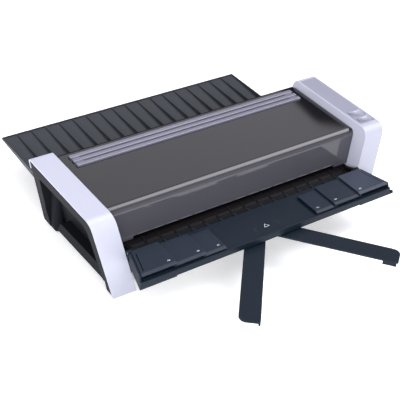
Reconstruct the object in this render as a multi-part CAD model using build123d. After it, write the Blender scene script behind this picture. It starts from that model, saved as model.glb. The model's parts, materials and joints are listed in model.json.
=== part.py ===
from build123d import *
import math
import os

# Pouch laminator, millimetres. X runs across the machine, +Y towards the back, +Z up.
# The parts are drawn with Y = 0 on the front edge of the paper guides and Z = 0 on the
# table, and are moved at the end so that the origin is the centre of the footprint.

# ---- machine body ----
HALF_WIDTH = 237.0  # outer face of each end cap, at the top
CAP_WIDTH = 33.5
LEAN = 0.22  # how far every end face leans inwards, per mm downwards
TOP_Z = 118.0
CAP_FOOT_Z = 2.0
CAP_FRONT_FOOT_Y = 41.0
CAP_FRONT_TOP_Y = 56.6
CAP_BACK_TOP_Y = 217.5
CAP_BACK_FOOT_Y = 229.0
CAP_BEND_R = 15.0
CAP_BACK_R = 7.0
SHEET = 2.4  # wall of the white caps
GAP = 0.3  # clearance between neighbouring pieces

# ---- end cap details ----
PANEL_IN = 3.0  # from the cap's inner face to the control panel
PANEL_FRONT_Y = 74.0
PANEL_BACK_Y = 209.0
PANEL_T = 1.2
BUTTON_X = 222.5
BUTTON_HALF = 12.0
BUTTON_DEPTH = 12.0
BUTTON_YS = (82.0, 99.5)
BACK_WRAP_Z = 101.0
FRAME_DEPTH = 24.0
FRAME_WALL = 2.4
SHEET_PROUD = 0.6
RECESS = [(64, 35, 3), (76.3, 98, 12), (199, 94.5, 3), (207, 30, 3)]  # (Y, Z, corner radius)
RECESS_DEPTH = 18.0
LEDGE_LOW = ((57.5, 19.5), (177.0, 16.0))  # (Y, Z) of the ledge's underside, front and rear
LEDGE_TOP_Z = 36.0
LEDGE_IN = 5.0  # the ledge's top edge, in from the end face
LEDGE_END = ((175.0, 31.0), (183.0, 16.0))  # (Y, Z) of its rear end
SLOT_BACK_Y = 207.0
COLUMN_X = 203.0
COLUMN_Y = 202.0
COLUMN_R = 9.0
FOOT_R = 5.5
FOOT_IN = 11.0  # foot centre, from the front or back of the cap

# ---- smoked cover and its vent trim ----
COVER_TOP_Z = 109.0
COVER_BEND_Y = 79.0
COVER_BEND_R = 11.0
COVER_FRONT_Y = 71.5
COVER_LOW_Z = 59.6
COVER_BACK_Y = 213.0
COVER_WALL = 2.5
MOUTH_HALF = 166.0
MOUTH_TOP_Z = 63.2
TRIM_HALF = 185.0
TRIM_FRONT_Y = 180.0
TRIM_BAR = 7.6
TRIM_PITCH = 9.7
TRIM_BARS = 3
TRIM_RISE = 2.6
VENT_HALF = 172.0
BEVEL = 5.0
BEVEL_FALL = 2.0

# ---- base pan ----
PAN_LOW_Z = 14.0
PAN_TOP_Z = 56.0
PAN_WALL = 2.5
PAN_FRONT_Y = 59.0
EXIT_Z = (50.0, 64.0)

# ---- paper path ----
DECK_Z = 58.0
NIP_Z = 59.0
ROLLER_R = 12.0
ROLLER_GAP = 0.3
SHAFT_R = 4.0
SLEEVE_HALF = 158.0
FRONT_ROLLER_Y = 125.0
PLATE_X = 170.0  # inner face of each side plate
PLATE_T = 1.5
RUN_FIT = 0.05  # radial clearance of a running fit
BLOCK_SIZE = 11.0  # upper bearing blocks
SLOT_HALF = 6.0
SLOT_TOP_Z = 96.0
SPRING_R = 2.4
SPRING_WIRE_R = 0.5
SPRING_TURNS = 5
TIE_BARS = ((106.0, 86.0), (152.0, 96.0), (199.0, 86.0))  # (Y, Z)

# ---- gears ----
ROLLER_TEETH = 24
DRIVE_TEETH = 32
AXIS_GAP = 2 * ROLLER_R + ROLLER_GAP  # the two rollers of a pair
GEAR_MODULE = AXIS_GAP / ROLLER_TEETH
GEAR_X = 174.0
GEAR_T = 6.0
BACKLASH = 0.2
LOWER_Z = NIP_Z - AXIS_GAP / 2
UPPER_Z = NIP_Z + AXIS_GAP / 2
REAR_ROLLER_Y = FRONT_ROLLER_Y + GEAR_MODULE * (ROLLER_TEETH + DRIVE_TEETH)
DRIVE_Y = (FRONT_ROLLER_Y + REAR_ROLLER_Y) / 2
DRIVE_SHAFT_R = 3.0
HEATER_Y = (DRIVE_Y - 13.5, DRIVE_Y + 13.5)

# ---- input tray ----
TRAY_FRONT_Y = -6.0
TRAY_BACK_Y = 46.0
TRAY_LOW_Z = 48.3
TRAY_PIN_Y = 48.0
TRAY_PIN_Z = 62.0
TRAY_PIN_R = 2.0
EAR_IN = 180.0
EAR_OUT = 184.5
KNUCKLE_OUT = 189.5
LIP_FRONT_Y = 58.6
END_X = 203.5  # outer face of each tray end, at the tray's front
END_TAPER = 0.28  # how far each tray end closes in, per mm rearwards
END_BACK_Y = 42.0
END_WALL = 2.5
END_TOP_Z = 66.6
LEAF_SLOT = (6.8, 8.2)  # in from the tray end's outer face
HEM_FRONT_Y = -3.2
MIDDLE_TRAVEL = 36.0
COMB_PITCH = 22.0
COMB_COUNT = 17
LEAF_DEPTH = 43.3
LEAF_T = 1.6
LEAF_STEP = 2.75
SIZE_HALF = (74.0, 105.0, 148.5)  # half widths of the three sheet sizes
LEAF_END = (109.0, 153.0, 200.0)
LEAF_TOP_Z = 62.0
ARM_PIVOT_X = 16.0
ARM_PIVOT_Y = 12.0
ARM_PIN_R = 3.0
ARM_LENGTH = 165.0
ARM_HALF = 13.5
ARM_SPLAY = 39.5  # degrees from straight ahead
ARM_TOP_Z = 48.0
ARM_T = 2.5

# ---- output tray ----
OUT_HALF = 204.0
OUT_FRONT_Y = 233.0
OUT_BACK_Y = 370.0
OUT_TOP_Z = 52.0
OUT_STRIPS = 18
OUT_PIN_Y = 238.0
OUT_PIN_Z = 40.5
OUT_PIN_R = 2.0

# ---- rear sockets ----
INLET_X = 118.0
SWITCH_X = 82.0
SOCKET_Z = 27.5
FLANGE_HALF_Z = 11.5
ROCKER_IN = 3.0  # rocker pin, in from the back face
ROCKER_PIN_R = 1.5
ROCKER_PIN_HALF = 6.6


def block(x0, x1, y0, y1, z0, z1):
    """A box given by its lowest and highest corners."""
    size = Box(x1 - x0, y1 - y0, z1 - z0)
    return Pos((x0 + x1) / 2, (y0 + y1) / 2, (z0 + z1) / 2) * size


def outline(points):
    """A flat face from corners (u, v) or (u, v, corner radius)."""
    corners = [(Vector(p[0], p[1]), p[2] if len(p) > 2 else 0) for p in points]
    edges = []
    ends = []
    for i, (here, radius) in enumerate(corners):
        back = (corners[i - 1][0] - here).normalized()
        ahead = (corners[(i + 1) % len(corners)][0] - here).normalized()
        if radius == 0:
            ends.append((here, here))
            continue
        half = math.radians(back.get_angle(ahead)) / 2
        reach = radius / math.tan(half)
        middle = (back + ahead).normalized() * (radius / math.sin(half) - radius)
        start = here + back * reach
        stop = here + ahead * reach
        edges.append(ThreePointArc(start, here + middle, stop))
        ends.append((start, stop))
    for i, (start, stop) in enumerate(ends):
        nxt = ends[(i + 1) % len(ends)][0]
        if (nxt - stop).length > 1e-6:
            edges.append(Line(stop, nxt))
    return Face(Wire.combine(edges)[0])


def prism_x(points, x0, x1):
    """An outline in (Y, Z), extruded along X."""
    return extrude(Plane.YZ.offset(x0) * outline(points), x1 - x0, dir=(1, 0, 0))


def prism_y(points, y0, y1):
    """An outline in (X, Z), extruded along Y."""
    plane = Plane(origin=(0, y0, 0), x_dir=(1, 0, 0), z_dir=(0, -1, 0))
    return extrude(plane * outline(points), y1 - y0, dir=(0, 1, 0))


def prism_z(points, z0, z1):
    """An outline in (X, Y), extruded along Z."""
    return extrude(Plane.XY.offset(z0) * outline(points), z1 - z0, dir=(0, 0, 1))


def rod_x(x0, x1, y, z, radius):
    """A round bar along X."""
    return Pos((x0 + x1) / 2, y, z) * Rot(0, 90, 0) * Cylinder(radius, x1 - x0)


def rod_z(x, y, z0, z1, radius):
    """A round bar along Z."""
    return Pos(x, y, (z0 + z1) / 2) * Cylinder(radius, z1 - z0)


def both_sides(shape):
    """The shape and its mirror image across the machine's middle."""
    return Compound(children=[*shape.solids(), *mirror(shape, about=Plane.YZ).solids()])


def group(shapes):
    """Separate solids kept in one node."""
    return Compound(children=[s for shape in shapes for s in shape.solids()])


def side_of(shape, side):
    """The right-hand shape as drawn, or its mirror image for the left."""
    return shape if side > 0 else mirror(shape, about=Plane.YZ)


def cap_x(z, inset=0.0):
    """The inner face of the right cap at height z, moved outwards by inset."""
    return HALF_WIDTH - CAP_WIDTH + inset - LEAN * (TOP_Z - z)


def leaning_slab(top_in, top_out):
    """Everything between two leaning end planes, given by their X at the top."""
    low, high = -10.0, TOP_Z + 10.0
    fall = LEAN * (TOP_Z - low)
    rise = LEAN * (high - TOP_Z)
    corners = [(top_in - fall, low), (top_out - fall, low), (top_out + rise, high), (top_in + rise, high)]
    return prism_y(corners, -20, 260)


def between_caps(gap=GAP):
    """The space between the two caps, as wide at each height as their inner faces."""
    low, high = -10.0, TOP_Z + 10.0
    wide, narrow = cap_x(high) - gap, cap_x(low) - gap
    return prism_y([(-narrow, low), (narrow, low), (wide, high), (-wide, high)], -20, 260)


def cap_outline(inset=0.0):
    """The side view of an end cap, drawn in by inset."""
    front_slope = (CAP_FRONT_TOP_Y - CAP_FRONT_FOOT_Y) / (TOP_Z - CAP_FOOT_Z)
    back_slope = (CAP_BACK_FOOT_Y - CAP_BACK_TOP_Y) / (TOP_Z - CAP_FOOT_Z)
    low, high = CAP_FOOT_Z + inset, TOP_Z - inset
    front = CAP_FRONT_FOOT_Y + inset * math.hypot(1, front_slope)
    back = CAP_BACK_FOOT_Y - inset * math.hypot(1, back_slope)
    return [
        (front + front_slope * (low - CAP_FOOT_Z), low),
        (front + front_slope * (high - CAP_FOOT_Z), high, CAP_BEND_R - inset),
        (back - back_slope * (high - CAP_FOOT_Z), high, CAP_BACK_R - inset),
        (back - back_slope * (low - CAP_FOOT_Z), low),
    ]


# ---- end caps ----


def button_hole(y, grow=0.0):
    half = BUTTON_HALF + grow
    deep = BUTTON_DEPTH / 2 + grow
    corners = [(BUTTON_X - half, y - deep), (BUTTON_X + half, y - deep), (BUTTON_X + half, y + deep),
               (BUTTON_X - half, y + deep)]
    return prism_z([(*corner, 4.0) for corner in corners], TOP_Z - 8, TOP_Z + 2)


def panel_pocket():
    low = TOP_Z - PANEL_T
    area = block(cap_x(TOP_Z, PANEL_IN), HALF_WIDTH + 9, PANEL_FRONT_Y, PANEL_BACK_Y, low, TOP_Z + 1)
    return area & leaning_slab(0, HALF_WIDTH - SHEET)


def cap_shell(side):
    """White sheet over the front, top and back corner, with the wall that faces the cover."""
    rim = prism_x(cap_outline(), 100, 260) - prism_x(cap_outline(SHEET), 90, 270)
    rim -= block(90, 270, 190, 240, -5, BACK_WRAP_Z)
    rim -= block(90, 270, CAP_FRONT_FOOT_Y + 4, 240, -5, CAP_FOOT_Z + SHEET + 1)
    top_in = HALF_WIDTH - CAP_WIDTH
    rim &= leaning_slab(top_in, HALF_WIDTH)
    wall = prism_x(cap_outline(), 100, 260) & leaning_slab(top_in, top_in + SHEET)
    shell = rim + wall
    if side > 0:
        shell -= panel_pocket()
        for y in BUTTON_YS:
            shell -= button_hole(y, 0.4)
    return side_of(shell, side)


def grown(points, amount):
    """An outline's corners moved away from its centre, for a wall round it."""
    cy = sum(p[0] for p in points) / len(points)
    cz = sum(p[1] for p in points) / len(points)
    out = []
    for y, z, r in points:
        out.append((y + math.copysign(amount, y - cy), z + math.copysign(amount, z - cz), r + amount))
    return out


def grip_slot():
    """Side view of the space between the ledge's rear end and the rear foot."""
    (top_y, top_z), (end_y, end_z) = LEDGE_END
    wall_y, wall_z = LEDGE_LOW[1]
    high = top_z + 9
    return [(top_y, high), (top_y, top_z), (end_y, end_z), (wall_y, wall_z), (wall_y, -5), (SLOT_BACK_Y, -5),
            (SLOT_BACK_Y, high)]


def end_frame(side):
    """Dark moulded side with a grip recess, a ledge under it and a column at its rear."""
    face = HALF_WIDTH - SHEET_PROUD
    edge = SHEET + 0.1
    (low_y, low_z), (wall_y, wall_z) = LEDGE_LOW
    within = prism_x(cap_outline(edge), 100, 260)
    outside = leaning_slab(face - RECESS_DEPTH, face + 20)
    hollow = prism_x(cap_outline(edge + FRAME_WALL), 90, 270)
    hollow &= leaning_slab(face - FRAME_DEPTH - 5, face - FRAME_WALL)
    core = prism_x(grown(RECESS, FRAME_WALL), 100, 260)
    core += block(90, 270, low_y - 5, LEDGE_END[1][0], wall_z, LEDGE_TOP_Z)
    core += block(90, 270, wall_y, SLOT_BACK_Y + FRAME_WALL, -5, LEDGE_TOP_Z)
    frame = (within & leaning_slab(face - FRAME_DEPTH, face)) - hollow
    frame += core & within & leaning_slab(face - FRAME_DEPTH, face - 1)
    frame -= prism_x(RECESS, 90, 270) & outside
    frame -= prism_x([(low_y, -5), (low_y, low_z), (wall_y, wall_z), (wall_y, -5)], 90, 270)
    frame -= prism_x(grip_slot(), 90, 270) & outside
    # The ledge's outer face slopes outwards as it goes down.
    low_x = face - LEAN * (TOP_Z - wall_z)
    high_x = face - LEAN * (TOP_Z - LEDGE_TOP_Z) - LEDGE_IN
    ramp = [(low_x, wall_z), (high_x, LEDGE_TOP_Z), (high_x + 20, LEDGE_TOP_Z), (high_x + 20, wall_z)]
    frame -= prism_y(ramp, low_y + 5, LEDGE_END[1][0] + 1)
    column = rod_z(COLUMN_X, COLUMN_Y, CAP_FOOT_Z + 1, RECESS[2][1], COLUMN_R)
    frame += column & leaning_slab(face - RECESS_DEPTH - 2, face - 1)
    if side > 0:
        for y in BUTTON_YS:
            frame -= button_hole(y, 0.4)
    frame = max(frame.solids(), key=lambda s: s.volume)
    return side_of(frame, side)


def rubber_feet():
    feet = []
    x = HALF_WIDTH - SHEET_PROUD - LEAN * TOP_Z - FRAME_DEPTH / 2
    for y in (CAP_FRONT_FOOT_Y + FOOT_IN, CAP_BACK_FOOT_Y - FOOT_IN):
        for side in (-1, 1):
            feet.append(rod_z(side * x, y, 0, CAP_FOOT_Z + SHEET, FOOT_R))
    return group(feet)


def control_panel():
    panel = panel_pocket() & prism_x(cap_outline(), 100, 260)
    panel &= block(0, 300, 0, PANEL_BACK_Y, 0, TOP_Z)
    for y in BUTTON_YS:
        panel -= button_hole(y, 0.4)
    return panel


def button(y):
    """Dished key with a raised ridge round its rear edge."""
    key = button_hole(y) & block(0, 300, 0, 300, TOP_Z - 6.5, TOP_Z)
    ridge = button_hole(y, -0.4) & block(0, 300, 0, 300, TOP_Z - 1, TOP_Z + 1.4)
    key += ridge
    dish = Pos(BUTTON_X, y - 3.4, TOP_Z + 28.6) * Sphere(29.5)
    return key - (dish & block(0, 300, 0, 300, TOP_Z - 1.0, TOP_Z + 5))


# ---- cover ----
def cover_outline(inset=0.0):
    slope = (COVER_BEND_Y - COVER_FRONT_Y) / (COVER_TOP_Z - COVER_LOW_Z)
    top = COVER_TOP_Z - inset
    front = COVER_FRONT_Y + inset * math.hypot(1, slope)
    low = COVER_LOW_Z - (5 if inset else 0)
    back = COVER_BACK_Y + (5 if inset else 0)
    return [
        (front + slope * (low - COVER_LOW_Z), low),
        (front + slope * (top - COVER_LOW_Z), top, COVER_BEND_R - inset),
        (back, top),
        (back, low),
    ]


def bar_y(i):
    """Front edge of vent bar i."""
    return TRIM_FRONT_Y + i * TRIM_PITCH


def front_cover():
    cover = prism_x(cover_outline(), -230, 230) - prism_x(cover_outline(COVER_WALL), -240, 240)
    cover -= block(-MOUTH_HALF, MOUTH_HALF, 60, 90, 50, MOUTH_TOP_Z)
    for i in range(TRIM_BARS - 1):
        y0 = bar_y(i) + TRIM_BAR
        cover -= block(-VENT_HALF, VENT_HALF, y0, y0 + TRIM_PITCH - TRIM_BAR, 90, 130)
    end = cap_x(COVER_TOP_Z)
    high = COVER_TOP_Z + 0.01
    bevel = prism_y([(end - BEVEL, high), (end + 2, high), (end + 2, COVER_TOP_Z - BEVEL_FALL)],
                    COVER_BEND_Y - 2, COVER_BACK_Y + 2)
    cover -= bevel
    cover -= mirror(bevel, about=Plane.YZ)
    return cover & between_caps()


def vent_trim():
    """Three raised bars joined by lower webs near their ends."""
    trim = None
    for i in range(TRIM_BARS):
        y0 = bar_y(i)
        section = [(y0, COVER_TOP_Z), (y0 + 0.6, COVER_TOP_Z + TRIM_RISE, 1.2),
                   (y0 + TRIM_BAR - 0.6, COVER_TOP_Z + TRIM_RISE, 1.2), (y0 + TRIM_BAR, COVER_TOP_Z)]
        bar = prism_x(section, -TRIM_HALF, TRIM_HALF)
        trim = bar if trim is None else trim + bar
    for side in (-1, 1):
        x0, x1 = sorted((side * VENT_HALF, side * (TRIM_HALF - 2.5)))
        trim += block(x0, x1, bar_y(0) + 2, bar_y(TRIM_BARS - 1) + 2, COVER_TOP_Z, COVER_TOP_Z + 1.0)
    return trim


def back_y(z, inset=0.0):
    """The back face of the machine at height z, moved forwards by inset."""
    slope = (CAP_BACK_FOOT_Y - CAP_BACK_TOP_Y) / (TOP_Z - CAP_FOOT_Z)
    return CAP_BACK_FOOT_Y - slope * (z - CAP_FOOT_Z) - inset


def inlet_hole(grow=0.0):
    half_x, half_z = 14.0 + grow, 10.5 + grow
    return block(INLET_X - half_x, INLET_X + half_x, 190, 240, SOCKET_Z - half_z, SOCKET_Z + half_z)


def switch_hole(grow=0.0):
    half_x, half_z = 7.0 + grow, 10.0 + grow
    return block(SWITCH_X - half_x, SWITCH_X + half_x, 190, 240, SOCKET_Z - half_z, SOCKET_Z + half_z)


def rear_panel():
    """Back wall with the exit slot, the tray hinge ears and the socket openings."""
    top = COVER_TOP_Z - COVER_WALL - 0.2
    skin = prism_x([(back_y(PAN_LOW_Z, 2.5), PAN_LOW_Z), (back_y(top, 2.5), top), (back_y(top), top),
                    (back_y(PAN_LOW_Z), PAN_LOW_Z)], -230, 230)
    skin -= block(-MOUTH_HALF, MOUTH_HALF, 200, 240, EXIT_Z[0], EXIT_Z[1])
    skin &= between_caps()
    for side in (-1, 1):
        for x0 in (148.0, 165.0):
            a, b = sorted((side * x0, side * (x0 + 4)))
            ear = [(back_y(OUT_PIN_Z + 5, 1), OUT_PIN_Z + 5), (OUT_PIN_Y, OUT_PIN_Z + 5, 0),
                   (OUT_PIN_Y + 5, OUT_PIN_Z, 0), (OUT_PIN_Y, OUT_PIN_Z - 5, 0),
                   (back_y(OUT_PIN_Z - 5, 1), OUT_PIN_Z - 5)]
            skin += prism_x(ear, a, b) - rod_x(a - 1, b + 1, OUT_PIN_Y, OUT_PIN_Z, OUT_PIN_R)
    skin -= inlet_hole()
    skin -= switch_hole()
    for x in range(-120, 49, 12):
        skin -= block(x, x + 4, 200, 240, 22, 40)
    return skin


def base_pan():
    outer = [(PAN_FRONT_Y + 1, PAN_LOW_Z, 3), (PAN_FRONT_Y, PAN_TOP_Z), (back_y(PAN_TOP_Z, 2.6), PAN_TOP_Z),
             (back_y(PAN_LOW_Z, 2.6), PAN_LOW_Z)]
    inner = [(PAN_FRONT_Y + 3.5, PAN_LOW_Z + PAN_WALL + 0.5), (PAN_FRONT_Y + 2.5, PAN_TOP_Z + 9),
             (back_y(PAN_TOP_Z, 5.1), PAN_TOP_Z + 9), (back_y(PAN_LOW_Z, 5.1), PAN_LOW_Z + PAN_WALL + 0.5)]
    pan = prism_x(outer, -230, 230) & between_caps()
    pan -= prism_x(inner, -230, 230) & between_caps(GAP + 2.5)
    pan -= block(-MOUTH_HALF, MOUTH_HALF, 200, 240, EXIT_Z[0], 70)
    pan -= inlet_hole()
    pan -= switch_hole()
    for x in range(-120, 49, 12):
        pan -= block(x, x + 4, 200, 240, 22, 40)
    for x in range(-90, 91, 15):
        pan -= block(x, x + 5, 130, 175, 0, 20)
    return pan


def entry_guide():
    """Sloping mouth sill with its comb of ribs and the two ears of the tray hinge."""
    top = [(LIP_FRONT_Y, PAN_TOP_Z + 0.1), (LIP_FRONT_Y, DECK_Z - 1.0), (LIP_FRONT_Y + 4, DECK_Z),
           (98, DECK_Z), (98, PAN_TOP_Z + 0.1)]
    sill = prism_x(top, -186, 186)
    sill += block(-160, 160, 97, 110, PAN_TOP_Z + 0.1, DECK_Z)
    for i in range(COMB_COUNT):
        x = (i - (COMB_COUNT - 1) / 2) * COMB_PITCH
        if abs(x) < EAR_IN - 3:
            rib = [(LIP_FRONT_Y - 1.2, PAN_TOP_Z + 0.1), (LIP_FRONT_Y - 1.2, DECK_Z + 0.2),
                   (LIP_FRONT_Y + 10, DECK_Z + 0.8), (96, DECK_Z + 0.2), (96, PAN_TOP_Z + 0.1)]
            sill += prism_x(rib, x - 1.2, x + 1.2)
    for side in (-1, 1):
        a, b = sorted((side * EAR_IN, side * EAR_OUT))
        ear = [(LIP_FRONT_Y + 2, PAN_TOP_Z + 0.1), (TRAY_PIN_Y, PAN_TOP_Z + 0.1, 3),
               (TRAY_PIN_Y - 4.4, TRAY_PIN_Z, 3), (TRAY_PIN_Y, TRAY_PIN_Z + 4.4, 3),
               (LIP_FRONT_Y + 6, TRAY_PIN_Z - 2)]
        sill += prism_x(ear, a, b)
        sill -= rod_x(a - 1, b + 1, TRAY_PIN_Y, TRAY_PIN_Z, TRAY_PIN_R)
    return sill


def tray_hinge_pins():
    return both_sides(rod_x(EAR_IN, KNUCKLE_OUT, TRAY_PIN_Y, TRAY_PIN_Z, TRAY_PIN_R))


def output_hinge_pins():
    return both_sides(rod_x(148.0, 169.0, OUT_PIN_Y, OUT_PIN_Z, OUT_PIN_R))


# ---- internal frame ----


def roller_ys():
    return (FRONT_ROLLER_Y, REAR_ROLLER_Y)


def side_plate(side):
    """Steel plate that carries the rollers, with slots for the sprung upper bearings."""
    low = PAN_LOW_Z + PAN_WALL + 0.5
    plate = prism_x([(100, low), (100, 90, 6), (110, 102, 6), (202, 102, 8), (206, 80), (206, low)],
                    PLATE_X, PLATE_X + PLATE_T)
    foot = block(PLATE_X - 9, PLATE_X, 104, 203, low, low + PLATE_T)
    plate += foot
    for y in roller_ys():
        plate -= rod_x(PLATE_X - 1, PLATE_X + 3, y, LOWER_Z, 6.0)
        plate -= block(PLATE_X - 1, PLATE_X + 3, y - SLOT_HALF, y + SLOT_HALF, UPPER_Z - 7, SLOT_TOP_Z)
    if side > 0:
        plate -= rod_x(PLATE_X - 1, PLATE_X + 3, DRIVE_Y, LOWER_Z, 5.5)
    for y, z in TIE_BARS:
        plate -= rod_x(PLATE_X - 1, PLATE_X + 3, y, z, 3.0)
    return side_of(plate, side)


def tie_bars():
    bars = []
    for y, z in TIE_BARS:
        bar = rod_x(-PLATE_X, PLATE_X, y, z, 4.0)
        bar += rod_x(-PLATE_X - PLATE_T - 2, PLATE_X + PLATE_T + 2, y, z, 3.0)
        bars.append(bar)
    return group(bars)


def lower_bushes():
    bushes = []
    for y in roller_ys():
        bush = rod_x(PLATE_X, PLATE_X + PLATE_T + 0.8, y, LOWER_Z, 6.0)
        bush += rod_x(PLATE_X - 2, PLATE_X, y, LOWER_Z, 7.5)
        bush -= rod_x(PLATE_X - 4, PLATE_X + 6, y, LOWER_Z, SHAFT_R + RUN_FIT)
        bushes.append(bush)
    return both_sides(group(bushes))


def upper_bearing_blocks():
    """Blocks that slide in the side plates' slots and carry the upper shafts."""
    blocks = []
    for y in roller_ys():
        half = BLOCK_SIZE / 2
        low, high = UPPER_Z - half, UPPER_Z + half
        body = block(PLATE_X - 2, PLATE_X + PLATE_T + 0.8, y - half, y + half, low, high)
        flange = block(PLATE_X - 2, PLATE_X - 0.1, y - half - 2.5, y + half + 2.5, low, high)
        bore = rod_x(PLATE_X - 4, PLATE_X + 6, y, UPPER_Z, SHAFT_R + RUN_FIT)
        blocks.append(body + flange - bore)
    return both_sides(group(blocks))


def pressure_springs():
    """Coil springs between the bearing blocks and the tops of the slots."""
    low = UPPER_Z + BLOCK_SIZE / 2 + 0.7
    high = SLOT_TOP_Z - 0.7
    springs = []
    for y in roller_ys():
        path = Helix(pitch=(high - low) / SPRING_TURNS, height=high - low, radius=SPRING_R)
        section = Plane(path @ 0, z_dir=path % 0) * Circle(SPRING_WIRE_R)
        coil = sweep(section, path=path)
        springs.append(Pos(PLATE_X + PLATE_T / 2, y, low) * coil)
    return both_sides(group(springs))


# ---- rollers and gears ----
def involute_gear(teeth, y, z, tooth_deg, bore):
    """Spur gear about an X axis at (y, z), with the middle of a tooth at tooth_deg."""
    pressure = math.radians(20)
    pitch_r = GEAR_MODULE * teeth / 2
    base_r = pitch_r * math.cos(pressure)
    tip_r = pitch_r + 0.9 * GEAR_MODULE
    root_r = pitch_r - 1.25 * GEAR_MODULE
    half_pitch = math.pi / (2 * teeth) - BACKLASH / (4 * pitch_r)
    roll = math.tan(pressure) - pressure

    def half_angle(radius):
        if radius <= base_r:
            return half_pitch + roll
        angle = math.acos(base_r / radius)
        return half_pitch + roll - (math.tan(angle) - angle)

    start = max(root_r, base_r)
    flank = [start + (tip_r - start) * k / 4 for k in range(5)]
    points = []
    for tooth in range(teeth):
        middle = math.radians(tooth_deg) + 2 * math.pi * tooth / teeth
        foot = half_angle(start)
        side = [(root_r, -foot - 0.02)] + [(r, -half_angle(r)) for r in flank]
        side += [(r, half_angle(r)) for r in reversed(flank)] + [(root_r, foot + 0.02)]
        points += [(y + r * math.cos(middle + a), z + r * math.sin(middle + a)) for r, a in side]
    wheel = prism_x(points, GEAR_X, GEAR_X + GEAR_T)
    return wheel - rod_x(GEAR_X - 1, GEAR_X + GEAR_T + 1, y, z, bore)


def roller_shaft(y, z):
    return rod_x(-PLATE_X - 6, GEAR_X + GEAR_T + 1, y, z, SHAFT_R)


def roller_sleeve(y, z):
    sleeve = rod_x(-SLEEVE_HALF, SLEEVE_HALF, y, z, ROLLER_R)
    return sleeve - rod_x(-SLEEVE_HALF - 1, SLEEVE_HALF + 1, y, z, SHAFT_R)


def roller_gear(y, z):
    """Lower gears have teeth at 0 and 90 degrees, upper ones a gap facing straight down."""
    tooth_deg = 0.0 if z < NIP_Z else 180.0 / ROLLER_TEETH
    return involute_gear(ROLLER_TEETH, y, z, tooth_deg, SHAFT_R)


def drive_gear():
    """Gear on the motor's output shaft, between the two lower roller gears."""
    return involute_gear(DRIVE_TEETH, DRIVE_Y, LOWER_Z, 180.0 / DRIVE_TEETH, DRIVE_SHAFT_R)


def drive_shaft():
    return rod_x(PLATE_X - 9, GEAR_X + GEAR_T + 1, DRIVE_Y, LOWER_Z, DRIVE_SHAFT_R)


def drive_motor():
    """Gearbox against the side plate, with the motor can below its output shaft."""
    gearbox = block(PLATE_X - 10.5, PLATE_X, DRIVE_Y - 15, DRIVE_Y + 15, 20.5, 53.5)
    gearbox -= rod_x(PLATE_X - 9.5, PLATE_X + 1, DRIVE_Y, LOWER_Z, DRIVE_SHAFT_R + RUN_FIT)
    can = rod_x(112, PLATE_X - 10.5, DRIVE_Y, 33, 12.0)
    boss = rod_x(108, 112, DRIVE_Y, 33, 4.0)
    return gearbox + can + boss


def heater_plate(z0, z1, fin_dir):
    """Aluminium plate beside the paper path, with stiffening fins away from it."""
    plate = block(-156, 156, HEATER_Y[0], HEATER_Y[1], z0, z1)
    for k in (-1, 1):
        y = DRIVE_Y + k * 9
        low, high = (z1, z1 + 5) if fin_dir > 0 else (z0 - 2, z0)
        plate += block(-156, 100 if fin_dir < 0 else 156, y - 1, y + 1, low, high)
    return plate


def thermostat():
    """Cut-out switch and sensor clamped on the upper heater plate."""
    z = NIP_Z + 3.0
    can = rod_z(-60, DRIVE_Y, z, z + 9, 6.5)
    can += rod_z(-60, DRIVE_Y, z + 9, z + 11, 4)
    sensor = block(20, 36, DRIVE_Y - 4, DRIVE_Y + 4, z, z + 4)
    return group([can, sensor])


def power_board():
    """Mains board standing on the floor of the pan, with its larger components."""
    z = PAN_LOW_Z + PAN_WALL + 0.5
    board = block(-160, -50, 66, 108, z + 4, z + 5.6)
    for x, y in ((-155, 70), (-55, 70), (-155, 104), (-55, 104)):
        board += rod_z(x, y, z, z + 4, 2.5)
    board += block(-150, -122, 72, 98, z + 5.6, z + 27)
    board += rod_z(-108, 80, z + 5.6, z + 24, 6.5)
    board += rod_z(-92, 80, z + 5.6, z + 24, 6.5)
    board += block(-84, -64, 88, 102, z + 5.6, z + 15)
    board += block(-80, -66, 72, 80, z + 5.6, z + 17)
    return board


def recess_roof(y):
    """Top of the wall over the grip recess."""
    (front_y, front_z), (rear_y, back_z) = RECESS[1][:2], RECESS[2][:2]
    fall = (front_z - back_z) / (rear_y - front_y + 2 * FRAME_WALL)
    return front_z + FRAME_WALL - fall * (y - front_y + FRAME_WALL)


def control_board():
    """Button board under the control panel, on spacers above the grip recess."""
    top = 107.6
    spacer_r = 1.8
    board = block(207.5, 229, 74, 125, top - 1.6, top)
    for y in (93, 120):
        board += rod_z(211.5, y, recess_roof(y - spacer_r) + 0.02, top - 1.6, spacer_r)
    for y in BUTTON_YS:
        board += block(BUTTON_X - 3, BUTTON_X + 3, y - 3, y + 3, top, top + 2.6)
    board += block(212, 224, 108, 118, top, top + 1.5)
    return board


def entry_sensor():
    """Small switch beside the mouth that feels the pouch."""
    body = block(128, 142, 96, 104, 66, 76)
    body += block(134, 136, 99, 101, 62.2, 66)
    body += block(126, 144, 104, 106, 66, 80)
    return body


def upper_entry_guide():
    """Bent sheet above the path, from the mouth to the front rollers."""
    sheet = prism_x([(76, 66), (80, 66), (108, 61.4), (110, 61.4), (110, 60.4), (107.8, 60.4), (79.8, 65),
                     (76, 65)], -160, 160)
    return sheet - block(130, 140, 97, 103, 58, 70)


def exit_guide():
    """Sill from the rear rollers to the exit slot."""
    low, high = 54.4, 55.6
    return block(-162, 162, REAR_ROLLER_Y + 15, back_y(57, 3.2), low, high)


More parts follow.
